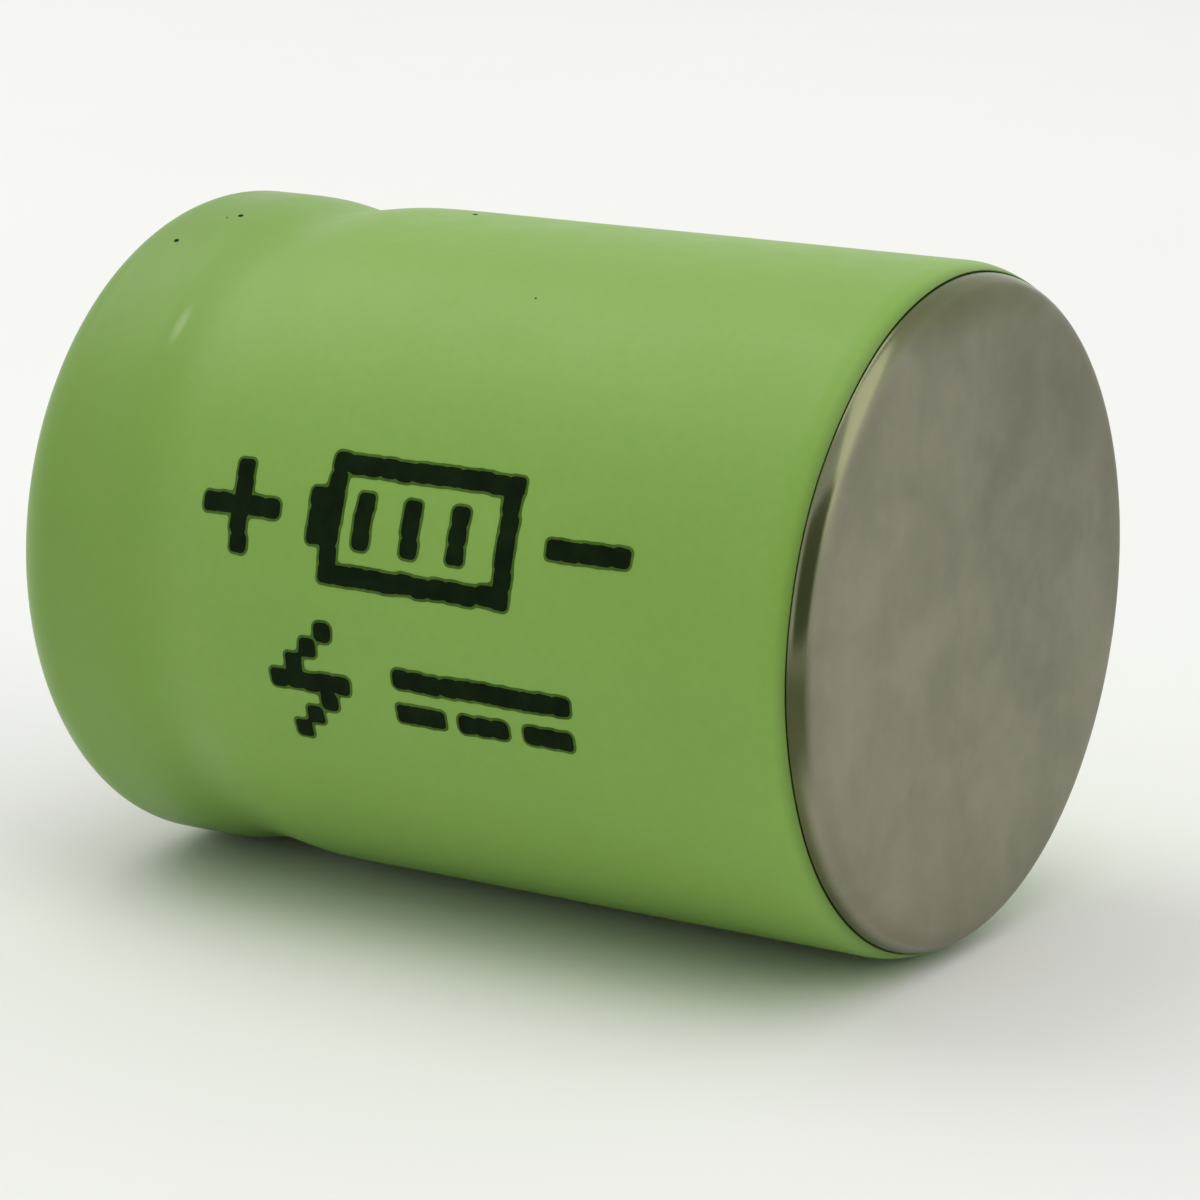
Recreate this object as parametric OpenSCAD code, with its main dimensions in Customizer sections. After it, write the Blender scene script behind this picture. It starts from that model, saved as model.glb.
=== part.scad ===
// Sealed nickel-metal hydride cell, third-length AAA size, in a heat-shrunk PVC sleeve.
// Every piece is drawn upright on its negative face, with its axis on Z, and lay_down() then
// lays the whole cell on its side: axis along X, negative face at +X, resting on z = 0.

/* [Cell] */
// Diameter over the sleeve
cell_d = 10.4; // [10.3:0.05:10.6]
// Height from the negative face to the top of the positive cap
cell_h = 15.2; // [15:0.1:15.6]
// Height of the sleeved shoulder at the positive end
shoulder_h = 14.2; // [14.1:0.05:14.4]

/* [Sleeve] */
// Thickness of the shrunk film
sleeve_t = 0.14; // [0.14:0.01:0.17]
// Distance from the negative face to the edge of the film
sleeve_start = 0.36; // [0.3:0.02:0.5]
// Radius of the opening round the positive cap
sleeve_lip_r = 3.6; // [3.4:0.1:3.8]
// How far the film sinks into the can's bead
sleeve_dip = 0.13; // [0.1:0.01:0.2]

/* [Can] */
// Thickness of the drawn steel
can_t = 0.2; // [0.18:0.01:0.22]
// Outer radius of the corner round the negative face
can_corner_r = 0.4; // [0.35:0.05:0.5]
// Depth of the rolled bead that holds up the seal
bead_depth = 0.6; // [0.5:0.05:0.65]
// Half the width of the bead, between the centres of its edge radii
bead_half_w = 1.05; // [0.9:0.05:1.1]
// Outer radius of the bead's edges
bead_edge_r = 0.6; // [0.5:0.05:0.7]
// Distance from the crimped top of the can down to the middle of the bead
bead_below_top = 2.6; // [2.55:0.05:2.65]
// Width of the crimp's bend, measured inwards from the wall
crimp_w = 1; // [0.9:0.05:1.1]
// Height of the crimp's bend
crimp_drop = 0.6; // [0.55:0.05:0.7]
// Radius of the opening in the crimp
crimp_lip_r = 3.7; // [3.65:0.05:3.75]

/* [Seal] */
// Thickness of the insulating washer
washer_t = 0.18; // [0.14:0.02:0.18]
// Inner radius of the insulating washer
washer_inner_r = 2.8; // [2.7:0.05:2.9]
// Thickness of the gasket where the crimp folds it over the plate
gasket_fold_t = 0.34; // [0.3:0.02:0.36]
// Inner radius of the gasket
gasket_inner_r = 3.5; // [3.45:0.05:3.55]
// Radius of the sealing plate
plate_r = 4.45; // [4.35:0.05:4.5]
// Thickness of the sealing plate
plate_t = 0.35; // [0.3:0.05:0.35]
// Depth of the dish in the sealing plate
plate_dish = 0.6; // [0.5:0.05:0.6]
// Radius of the vent hole in the sealing plate
vent_hole_r = 0.55; // [0.4:0.05:0.6]

/* [Positive cap] */
// Outer radius of the cap
cap_r = 2.4; // [2.3:0.05:2.45]
// Radius of the welded flange
cap_flange_r = 2.95; // [2.85:0.05:3]
// Thickness of the cap's steel
cap_t = 0.2; // [0.18:0.01:0.22]
// Number of gas holes round the cap
cap_holes = 3; // [2:1:4]
// Radius of each gas hole
cap_hole_r = 0.3; // [0.2:0.05:0.3]

/* [Vent plug] */
// Radius of the rubber plug
plug_r = 1.55; // [1.4:0.05:1.6]
// Radius of the sealing ring on the plug's foot
plug_ring_r = 0.95; // [0.9:0.05:1]

/* [Wound roll] */
// Thickness of the positive electrode
positive_t = 0.66; // [0.6:0.02:0.66]
// Thickness of the negative electrode
negative_t = 0.33; // [0.3:0.01:0.34]
// Thickness of each separator
separator_t = 0.12; // [0.1:0.01:0.12]

/* [Tab] */
// Width of the nickel tab
tab_w = 1.5; // [1.3:0.1:1.5]
// Thickness of the nickel tab
tab_t = 0.1; // [0.08:0.01:0.12]

/* [Hidden] */

fit_gap = 0.02;               // between pieces that are pressed together
layer_gap = 0.01;             // between the layers of the roll
arc_steps = 10;
heavy_side_down = 67.5;       // turn about the cell's own axis that puts the roll's heavy side underneath
$fn = 96;

can_r = cell_d / 2 - sleeve_t - fit_gap;
can_inner_r = can_r - can_t;
can_h = shoulder_h - sleeve_t - 2 * layer_gap - washer_t;
bead_z = can_h - bead_below_top;

plate_top = can_h - can_t - gasket_fold_t;
plate_foot = plate_top - plate_t;
dish_top = plate_top - plate_dish;
dish_foot = dish_top - plate_t;
dish_r = 3.1;                 // inside radius of the dish, which the cap's flange fits
dish_bend_r = 0.25;

cap_top_r = 0.4;              // bend between the cap's face and its wall
cap_foot_r = 0.2;             // bend between the cap's wall and its flange
cap_hole_z = dish_top + cap_t + 0.55;

gasket_foot = bead_z + 0.7;
gasket_turn = -60;            // where the gasket's foot leaves the bead's ledge, in degrees

insulator_t = 0.15;
lower_insulator_z = can_t + fit_gap;
roll_foot = lower_insulator_z + insulator_t + fit_gap;
upper_insulator_z = bead_z - bead_half_w - insulator_t - 0.1;
roll_top = upper_insulator_z - fit_gap;
roll_r = can_inner_r - fit_gap;
roll_turns = 3;
roll_pitch = positive_t + negative_t + 2 * separator_t + 4 * layer_gap;
core_r = roll_r - roll_turns * roll_pitch;
wind_steps = 48;              // stations in each turn
climb_from = 0.68;            // where in each turn a strip starts to climb to the next turn
climb_to = 0.93;
last_turn = roll_turns - 1;
positive_margin = 0.5;        // how far the positive stops short of the separators, at each end
negative_margin = 0.35;       // the same for the negative, which is wider

// Where each strip lies in the stack, measured outwards from the start of a turn.
inner_separator_at = 0;
positive_at = inner_separator_at + separator_t + layer_gap;
outer_separator_at = positive_at + positive_t + layer_gap;
negative_at = outer_separator_at + separator_t + layer_gap;

tab_pocket_w = 1.9;
tab_pocket_h = 3.2;
tape_t = 0.05;
tape_w = 1.7;
tab_pocket_x = core_r + roll_pitch + positive_at + positive_t - 0.38;
tab_x = tab_pocket_x + layer_gap + tab_t / 2;
tab_foot = roll_top - tab_pocket_h;
tab_run_z = dish_foot - 0.8;  // height of the run that crosses the cell
tab_weld_z = dish_foot - layer_gap - tab_t / 2;
tab_bend_r = 0.3;

// ---- Outlines ---------------------------------------------------------------------------

function reversed(points) = [for (i = [len(points) - 1 : -1 : 0]) points[i]];

// Points on an arc, from one angle to another.
function arc(centre, r, from, to, n = arc_steps) =
    [for (i = [0 : n]) let (a = from + (to - from) * i / n) centre + r * [cos(a), sin(a)]];

// The crimp's bend, from the wall to the rim: a quarter of an ellipse, moved out and up.
function crimp(out, up) =
    [
        for (i = [0 : arc_steps])
            let (a = 90 * i / arc_steps)
                [
                    can_r - crimp_w + (crimp_w + out) * cos(a),
                    can_h - crimp_drop + (crimp_drop + up) * sin(a)
                ]
    ];

function without_ends(points) = [for (i = [1 : len(points) - 2]) points[i]];

// A groove of three tangent arcs in a wall at radius wall_r, read upwards. Inset moves the
// whole line into the wall, so that one function gives both faces of a bent sheet.
function groove(wall_r, z, depth, inset) =
    let (
        turn = 2 * atan(depth / bead_half_w),
        root_r = bead_half_w / sin(turn) - bead_edge_r
    )
    concat(
        arc([wall_r - bead_edge_r, z - bead_half_w], bead_edge_r - inset, 0, turn),
        without_ends(arc([wall_r - depth + root_r, z], root_r + inset, 180 + turn, 180 - turn)),
        arc([wall_r - bead_edge_r, z + bead_half_w], bead_edge_r - inset, -turn, 0)
    );

function unit(v) = v / norm(v);
function left_of(a, b) = let (d = unit(b - a)) [-d[1], d[0]];

// The point that lies d to the left of a path's point i, on the mitre between its two sides.
function mitred(path, i, d) =
    let (
        last = len(path) - 1,
        before = left_of(path[max(i, 1) - 1], path[max(i, 1)]),
        after = left_of(path[min(i, last - 1)], path[min(i, last - 1) + 1])
    )
    path[i] + d * (before + after) / (1 + before * after);

// The outline of a sheet of thickness t whose middle follows the path.
function sheet(path, t) = concat(
    [for (i = [0 : len(path) - 1]) mitred(path, i, t / 2)],
    reversed([for (i = [0 : len(path) - 1]) mitred(path, i, -t / 2)])
);

// ---- The wound roll ---------------------------------------------------------------------

function eased(x) = x * x * (3 - 2 * x);

// Radius of the roll's first layer at a turn: level, then climbing over the turn inside it.
// The last turn stays level, against the can.
function wind_r(turn) =
    let (
        whole = floor(turn),
        climbed = (turn - whole - climb_from) / (climb_to - climb_from),
        rise = eased(min(max(climbed, 0), 1))
    )
    core_r + roll_pitch * min(whole + rise, last_turn);

function wound(at, from, to) =
    [for (i = [round(from * wind_steps) : round(to * wind_steps)])
        let (turn = i / wind_steps, r = wind_r(turn) + at) r * [cos(360 * turn), sin(360 * turn)]];

module wound_strip(at, t, from, to, margin) {
    translate([0, 0, roll_foot + margin])
        linear_extrude(roll_top - roll_foot - 2 * margin)
            polygon(concat(wound(at, from, to), reversed(wound(at + t, from, to))));
}

// ---- Pieces -----------------------------------------------------------------------------

// Film over the whole side, sunk a little into the bead and drawn in over the washer.
module sleeve() {
    rise = washer_t + 2 * layer_gap;
    inner = concat(
        [[can_r + fit_gap, sleeve_start]],
        groove(can_r, bead_z, sleeve_dip, -fit_gap),
        crimp(fit_gap, rise),
        [[sleeve_lip_r, can_h + rise]]
    );
    outer = concat(
        [[can_r + fit_gap + sleeve_t, sleeve_start]],
        groove(can_r, bead_z, sleeve_dip, -fit_gap - sleeve_t),
        crimp(fit_gap + sleeve_t, rise + sleeve_t),
        [[sleeve_lip_r, can_h + rise + sleeve_t]]
    );
    color([0.5, 0.68, 0.32]) rotate_extrude() polygon(concat(outer, reversed(inner)));
}

// Fibre ring that keeps the sleeve and any contact off the crimp.
module insulating_washer() {
    color([0.93, 0.92, 0.87])
        translate([0, 0, can_h + layer_gap])
            difference() {
                cylinder(h = washer_t, r = can_r - crimp_w - 0.05);
                translate([0, 0, -1]) cylinder(h = washer_t + 2, r = washer_inner_r);
            }
}

// One drawn sheet: negative face, corner, wall, bead and crimp.
module can() {
    half = can_t / 2;
    path = concat(
        [[0, half]],
        arc([can_r - can_corner_r, can_corner_r], can_corner_r - half, -90, 0),
        groove(can_r, bead_z, bead_depth, half),
        crimp(-half, -half),
        [[crimp_lip_r, can_h - half]]
    );
    color([0.62, 0.6, 0.54]) rotate_extrude() polygon(sheet(path, can_t));
}

// Nylon ring that stands on the bead, grips the plate's edge and is folded over by the crimp.
module sealing_gasket() {
    inset = can_t + fit_gap;
    top = can_h - inset;
    outline = concat(
        [[gasket_inner_r, gasket_foot]],
        arc([can_r - bead_edge_r, bead_z + bead_half_w], bead_edge_r - inset, gasket_turn, 0),
        crimp(-inset, -inset),
        [
            [crimp_lip_r - 0.15, top],
            [crimp_lip_r - 0.15, plate_top + layer_gap],
            [plate_r + layer_gap, plate_top + layer_gap],
            [plate_r + layer_gap, plate_foot - layer_gap],
            [gasket_inner_r, plate_foot - layer_gap]
        ]
    );
    color([0.88, 0.86, 0.78]) rotate_extrude() polygon(outline);
}

// Dished steel lid with the vent hole in its middle.
module sealing_plate() {
    half = plate_t / 2;
    wall_r = dish_r + half;
    path = concat(
        [[vent_hole_r, dish_top - half]],
        arc([wall_r - dish_bend_r, dish_top - half + dish_bend_r], dish_bend_r, -90, -25),
        arc([wall_r + dish_bend_r, plate_top - half - dish_bend_r], dish_bend_r, 155, 90),
        [[plate_r, plate_top - half]]
    );
    color([0.66, 0.65, 0.62]) rotate_extrude() polygon(sheet(path, plate_t));
}

// Drawn button with a welded flange and gas holes round its foot.
module positive_cap() {
    half = cap_t / 2;
    wall = cap_r - half;
    path = concat(
        [[0, cell_h - half]],
        arc([wall - cap_top_r, cell_h - half - cap_top_r], cap_top_r, 90, 0),
        arc([wall + cap_foot_r, dish_top + layer_gap + half + cap_foot_r], cap_foot_r, 180, 270),
        [[cap_flange_r, dish_top + layer_gap + half]]
    );
    color([0.7, 0.69, 0.65])
        difference() {
            rotate_extrude() polygon(sheet(path, cap_t));
            for (i = [0 : cap_holes - 1])
                rotate([0, 0, 360 * i / cap_holes])
                    translate([cap_r - cap_t - 0.3, 0, cap_hole_z])
                        rotate([0, 90, 0])
                            cylinder(h = cap_t + 0.6, r = cap_hole_r, $fn = 32);
        }
}

// Rubber valve, squeezed between the cap and the plate, with a sealing ring round the hole.
module vent_plug() {
    foot = dish_top + layer_gap;
    head = cell_h - cap_t - layer_gap;
    edge = 0.15;
    step = 0.1;
    color([0.13, 0.13, 0.13])
        rotate_extrude()
            polygon([
                [0, foot + step],
                [plug_ring_r - 0.25, foot + step],
                [plug_ring_r - 0.15, foot],
                [plug_ring_r + 0.15, foot],
                [plug_ring_r + 0.25, foot + step],
                [plug_r - edge, foot + step],
                [plug_r, foot + step + edge],
                [plug_r, head - edge],
                [plug_r - edge, head],
                [0, head]
            ]);
}

// Nickel strip from the positive electrode, folded across the cell to its weld on the plate.
module positive_tab() {
    fold_r = (tab_weld_z - tab_run_z) / 2;
    fold_x = -1.9;
    path = concat(
        [[tab_x, tab_foot]],
        arc([tab_x - tab_bend_r, tab_run_z - tab_bend_r], tab_bend_r, 0, 90),
        arc([fold_x, tab_run_z + fold_r], fold_r, 270, 90),
        [[-vent_hole_r - 0.3, tab_weld_z]]
    );
    color([0.75, 0.73, 0.68])
        rotate([90, 0, 0]) linear_extrude(tab_w, center = true) polygon(sheet(path, tab_t));
}

// Film over the tab's foot, in the pocket in the electrode.
module tab_tape() {
    color([0.9, 0.8, 0.45])
        translate([tab_pocket_x + tab_t + 2 * layer_gap, -tape_w / 2, tab_foot - 0.1])
            cube([tape_t, tape_w, tab_pocket_h - 0.1]);
}

// Disc over the roll, with a filling hole and a slot for the tab.
module upper_insulator() {
    color([0.86, 0.87, 0.85])
        translate([0, 0, upper_insulator_z])
            difference() {
                cylinder(h = insulator_t, r = can_inner_r - 0.12);
                translate([0, 0, -1]) cylinder(h = insulator_t + 2, r = 1);
                translate([tab_x - 0.25, -tab_w / 2 - 0.15, -1])
                    cube([0.5, tab_w + 0.3, insulator_t + 2]);
            }
}

// Disc between the roll and the can's floor.
module lower_insulator() {
    color([0.86, 0.87, 0.85])
        translate([0, 0, lower_insulator_z])
            cylinder(h = insulator_t, r = can_inner_r - can_corner_r + 0.1);
}

// Nickel foam filled with hydroxide, with a pressed pocket where the tab is welded.
module positive_electrode() {
    color([0.2, 0.22, 0.2])
        difference() {
            wound_strip(positive_at, positive_t, 0.04, last_turn + climb_from - 0.02, positive_margin);
            translate([tab_pocket_x, -tab_pocket_w / 2, roll_top - tab_pocket_h - 0.2])
                cube([0.5, tab_pocket_w, tab_pocket_h]);
        }
}

// Steel strip coated with hydride alloy. Its last turn lies against the can.
module negative_electrode() {
    color([0.28, 0.28, 0.3])
        wound_strip(negative_at, negative_t, 0.08, last_turn + climb_from + 0.13, negative_margin);
}

module inner_separator() {
    color([0.94, 0.94, 0.92])
        wound_strip(inner_separator_at, separator_t, 0, last_turn + climb_from, 0);
}

module outer_separator() {
    color([0.94, 0.94, 0.92])
        wound_strip(outer_separator_at, separator_t, 0, last_turn + climb_from + 0.13, 0);
}

// ---- The whole cell, lying on its side --------------------------------------------------

module lay_down() {
    translate([cell_h / 2, 0, cell_d / 2]) rotate([0, -90, 0]) rotate([0, 0, heavy_side_down]) children();
}

lay_down() sleeve();
lay_down() insulating_washer();
lay_down() can();
lay_down() sealing_gasket();
lay_down() sealing_plate();
lay_down() positive_cap();
lay_down() vent_plug();
lay_down() positive_tab();
lay_down() tab_tape();
lay_down() upper_insulator();
lay_down() lower_insulator();
lay_down() positive_electrode();
lay_down() negative_electrode();
lay_down() inner_separator();
lay_down() outer_separator();
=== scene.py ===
import math

import bmesh
import bpy
import numpy as np
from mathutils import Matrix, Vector


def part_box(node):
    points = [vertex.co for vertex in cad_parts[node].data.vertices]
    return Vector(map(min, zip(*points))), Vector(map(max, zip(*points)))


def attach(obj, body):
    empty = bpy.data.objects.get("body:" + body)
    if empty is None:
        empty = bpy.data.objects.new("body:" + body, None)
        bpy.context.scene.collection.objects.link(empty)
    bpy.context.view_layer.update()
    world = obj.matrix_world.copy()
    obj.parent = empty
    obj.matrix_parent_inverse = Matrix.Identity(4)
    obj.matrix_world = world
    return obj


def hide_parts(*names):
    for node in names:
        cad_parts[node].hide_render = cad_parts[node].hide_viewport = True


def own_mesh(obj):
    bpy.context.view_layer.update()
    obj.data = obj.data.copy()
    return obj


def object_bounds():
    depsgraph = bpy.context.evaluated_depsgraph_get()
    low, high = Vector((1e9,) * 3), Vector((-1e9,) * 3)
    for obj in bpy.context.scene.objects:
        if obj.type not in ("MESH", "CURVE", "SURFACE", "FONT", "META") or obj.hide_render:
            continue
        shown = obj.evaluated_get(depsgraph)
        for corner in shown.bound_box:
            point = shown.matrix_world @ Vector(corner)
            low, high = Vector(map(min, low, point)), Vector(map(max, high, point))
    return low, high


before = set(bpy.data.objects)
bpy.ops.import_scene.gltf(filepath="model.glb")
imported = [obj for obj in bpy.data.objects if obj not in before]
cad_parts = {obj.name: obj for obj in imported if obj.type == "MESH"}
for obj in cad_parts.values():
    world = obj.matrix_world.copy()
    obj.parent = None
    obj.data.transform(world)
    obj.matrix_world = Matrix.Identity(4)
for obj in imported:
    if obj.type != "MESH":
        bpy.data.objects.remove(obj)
CAD_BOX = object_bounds()
MM = 0.001
FACE_X = CAD_BOX[1].x / MM
AXIS_Z = (CAD_BOX[0].z + CAD_BOX[1].z) / 2 / MM
SEED = 11
rng = np.random.default_rng(SEED)


def span(node):
    """(foot, top, radius): the heights where a CAD node starts and ends, and how far it reaches out."""
    low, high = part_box(node)
    return FACE_X - high.x / MM, FACE_X - low.x / MM, max(high.y, -low.y) / MM


FILM_FOOT, FILM_TOP, FILM_R = span("sleeve")
WASHER_FOOT, WASHER_TOP, WASHER_R = span("insulating_washer")
_, CAN_TOP, CAN_R = span("can")
_, PLATE_TOP, PLATE_R = span("sealing_plate")
CAP_FOOT, CAP_TOP, FLANGE_R = span("positive_cap")
PLUG_FOOT, PLUG_TOP, PLUG_R = span("vent_plug")

# Sizes inside the box of a node, as the part's own source gives them.
FILM_T = 0.14
LIP_R = 3.6                 # where the film ends over the washer
WASHER_HOLE_R = 2.8
CAN_T = 0.2
CAN_CORNER_R = 0.4
BEAD = dict(height=CAN_TOP - 2.6, depth=0.6, half_w=1.05, edge_r=0.6)
CRIMP_W, CRIMP_DROP, CRIMP_LIP_R = 1.0, 0.6, 3.7
GASKET_HOLE_R = 3.5
PLATE_T = 0.35
DISH_TOP = PLATE_TOP - 0.6
DISH_R, DISH_BEND_R, VENT_HOLE_R = 3.1, 0.25, 0.55
CAP_R, CAP_T, CAP_TOP_R, CAP_FOOT_R = 2.4, 0.2, 0.4, 0.2
GAS_HOLES, GAS_HOLE_R = 3, 0.3
HEAVY_SIDE_DOWN = 67.5      # turn of the wound roll and of the cap's holes about the axis, in degrees

# How finely a turned piece is divided round the axis.
FILM_SIDES, DISC_SIDES, LID_SIDES, PLUG_SIDES = 360, 240, 192, 128

# How the film really lies: it dips over the bead, softly on the body's side.
DIP_HEIGHT, DIP_DEPTH, DIP_BODY_W, DIP_SHOULDER_W = 11.32, 0.145, 0.82, 0.6
FILM_OUT = FILM_R - 0.008
# At its cut foot the film thins and rolls over, and painted shade darkens it.
FOOT_THINNING, FOOT_ROLL, FOOT_ROLL_H, FOOT_SHADE_H = 0.02, 0.095, 0.42, 0.22
OUT_OF_ROUND, CAN_CLEARANCE = 0.011, 0.003
CREASE = dict(height=11.9, turn=47.0, depth=0.02, half_w=0.09, half_len=0.36)


# ---- Outlines: lists of (height, radius) ------------------------------------------------------

def arc(height, r_centre, radius, start, end, steps=12):
    """Points on an arc. Angle 0 points outwards and 90 up, away from the negative face."""
    angles = np.radians(np.linspace(start, end, steps + 1))
    return [(height + radius * math.sin(a), r_centre + radius * math.cos(a)) for a in angles]


def groove(wall_r, inset):
    """The bead: three tangent arcs in a wall, moved into it by inset."""
    turn = 2 * math.degrees(math.atan(BEAD["depth"] / BEAD["half_w"]))
    root_r = BEAD["half_w"] / math.sin(math.radians(turn)) - BEAD["edge_r"]
    h, half_w, edge_r = BEAD["height"], BEAD["half_w"], BEAD["edge_r"]
    low = arc(h - half_w, wall_r - edge_r, edge_r - inset, 0, turn)
    root = arc(h, wall_r - BEAD["depth"] + root_r, root_r + inset, 180 + turn, 180 - turn, 20)
    high = arc(h + half_w, wall_r - edge_r, edge_r - inset, -turn, 0)
    return low + root[1:-1] + high


def crimp(out, up, steps=20):
    """The bend from the wall to the rim: a quarter of an ellipse, moved out and up."""
    points = []
    for a in np.radians(np.linspace(0, 90, steps + 1)):
        radius = CAN_R - CRIMP_W + (CRIMP_W + out) * math.cos(a)
        height = CAN_TOP - CRIMP_DROP + (CRIMP_DROP + up) * math.sin(a)
        points.append((height, radius))
    return points


def thick(path, thickness):
    """The outline of a bent sheet whose middle follows the path."""
    points = np.array(path, float)
    ways = np.diff(points, axis=0)
    ways /= np.linalg.norm(ways, axis=1)[:, None]
    normals = np.column_stack([-ways[:, 1], ways[:, 0]])
    before, after = np.vstack([normals[:1], normals]), np.vstack([normals, normals[-1:]])
    mitre = (before + after) / (1 + (before * after).sum(1))[:, None]
    side = mitre * thickness / 2
    return [tuple(p) for p in points + side] + [tuple(p) for p in (points - side)[::-1]]


def lid_outline(path, thickness):
    """The outline of a sheet that starts on the axis, with its far edge rounded."""
    both = thick(path, thickness)
    near, far = both[:len(path)], both[len(path):]
    rim = rounded([near[-2], near[-1], far[0], far[1]], 0.06, closed=False)[1:-1]
    return [(h, max(r, 0.0)) for h, r in near[:-1] + rim + far[1:]]


def rounded(points, radius, closed=True, sharpest=25, steps=5):
    """An outline with its sharp corners cut back to small curves, so that edges catch the light."""
    made = []
    for i, corner in enumerate(points):
        if not closed and i in (0, len(points) - 1):
            made.append(corner)
            continue
        here = np.array(corner)
        back = np.array(points[i - 1]) - here
        on = np.array(points[(i + 1) % len(points)]) - here
        back_len, on_len = np.linalg.norm(back), np.linalg.norm(on)
        turn = math.pi - math.acos(max(-1, min(1, back @ on / back_len / on_len)))
        if math.degrees(turn) < sharpest:
            made.append(corner)
            continue
        cut = min(radius * math.tan(turn / 2), 0.45 * back_len, 0.45 * on_len)
        first, last = here + back / back_len * cut, here + on / on_len * cut
        for t in np.linspace(0, 1, steps + 1):
            made.append(tuple((1 - t) ** 2 * first + 2 * t * (1 - t) * here + t * t * last))
    return made


def spaced(points, step, closed=True):
    """An outline with more points along its long stretches."""
    made = []
    ends = points[1:] + points[:1] if closed else points[1:]
    for a, b in zip(points, ends):
        parts = max(1, math.ceil(math.dist(a, b) / step))
        for k in range(parts):
            t = k / parts
            made.append((a[0] + (b[0] - a[0]) * t, a[1] + (b[1] - a[1]) * t))
    return made if closed else made + [points[-1]]


# ---- Meshes -----------------------------------------------------------------------------------

def place(heights, radii, angles):
    """Points in the row frame, in metres. Angle 0 faces the front, -Y, and 90 faces up."""
    return np.column_stack([
        FACE_X - heights,
        -radii * np.cos(angles),
        AXIS_Z + radii * np.sin(angles),
    ]) * MM


def make(name, points, faces, material, body="cell", slot=None, stands_for=(), sharp=35):
    mesh = bpy.data.meshes.new(name)
    mesh.from_pydata([tuple(p) for p in points], [], faces)
    shape = bmesh.new()
    shape.from_mesh(mesh)
    bmesh.ops.recalc_face_normals(shape, faces=shape.faces)
    shape.to_mesh(mesh)
    shape.free()
    mesh.polygons.foreach_set("use_smooth", [True] * len(mesh.polygons))
    mesh.set_sharp_from_angle(angle=math.radians(sharp))
    piece = bpy.data.objects.new(name, mesh)
    bpy.context.scene.collection.objects.link(piece)
    mesh.materials.append(material)
    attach(piece, body)
    if stands_for:
        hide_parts(*stands_for)
    return piece


def lathe_mesh(outline, around, moved=None, closed=True):
    """(points, faces) of an outline turned about the axis. An open one starts and ends on the axis."""
    ring = outline if closed else outline[1:-1]
    count = len(ring)
    angles = np.linspace(0, 2 * math.pi, around, endpoint=False)
    turn, height = np.meshgrid(angles, [p[0] for p in ring])
    _, radius = np.meshgrid(angles, [p[1] for p in ring])
    height, radius, turn = height.ravel(), radius.ravel(), turn.ravel()
    if moved:
        height, radius = moved(height, radius, turn)
    points = place(height, radius, turn)
    faces = []
    rows = range(count) if closed else range(count - 1)
    for i in rows:
        a, b = i * around, (i + 1) % count * around
        for j in range(around):
            k = (j + 1) % around
            faces.append((a + j, a + k, b + k, b + j))
    if not closed:
        ends = place(np.array([outline[0][0], outline[-1][0]]), np.zeros(2), np.zeros(2))
        points = np.vstack([points, ends])
        first, last, top = count * around, count * around + 1, (count - 1) * around
        for j in range(around):
            k = (j + 1) % around
            faces.append((first, k, j))
            faces.append((last, top + j, top + k))
    return points, faces


def waves(count, longest, shortest, seed, wall_r=None):
    """Random smooth waves, as (rate, rate across, phase, size). With wall_r they close up round the wall."""
    draw = np.random.default_rng(seed)
    made = []
    for _ in range(count):
        rate, way = 2 * math.pi / draw.uniform(shortest, longest), draw.uniform(0, math.pi)
        across = round(rate * math.sin(way) * wall_r) if wall_r else rate * math.sin(way)
        made.append((rate * math.cos(way), across, draw.uniform(0, 2 * math.pi), draw.uniform(0.4, 1)))
    return made


def rippled(ripples, along, across):
    """The sum of the waves at each point, from about -1 to 1."""
    total = sum(size * np.sin(k * along + n * across + phase) for k, n, phase, size in ripples)
    return total / sum(size for *_, size in ripples)


# ---- Materials --------------------------------------------------------------------------------

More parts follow.
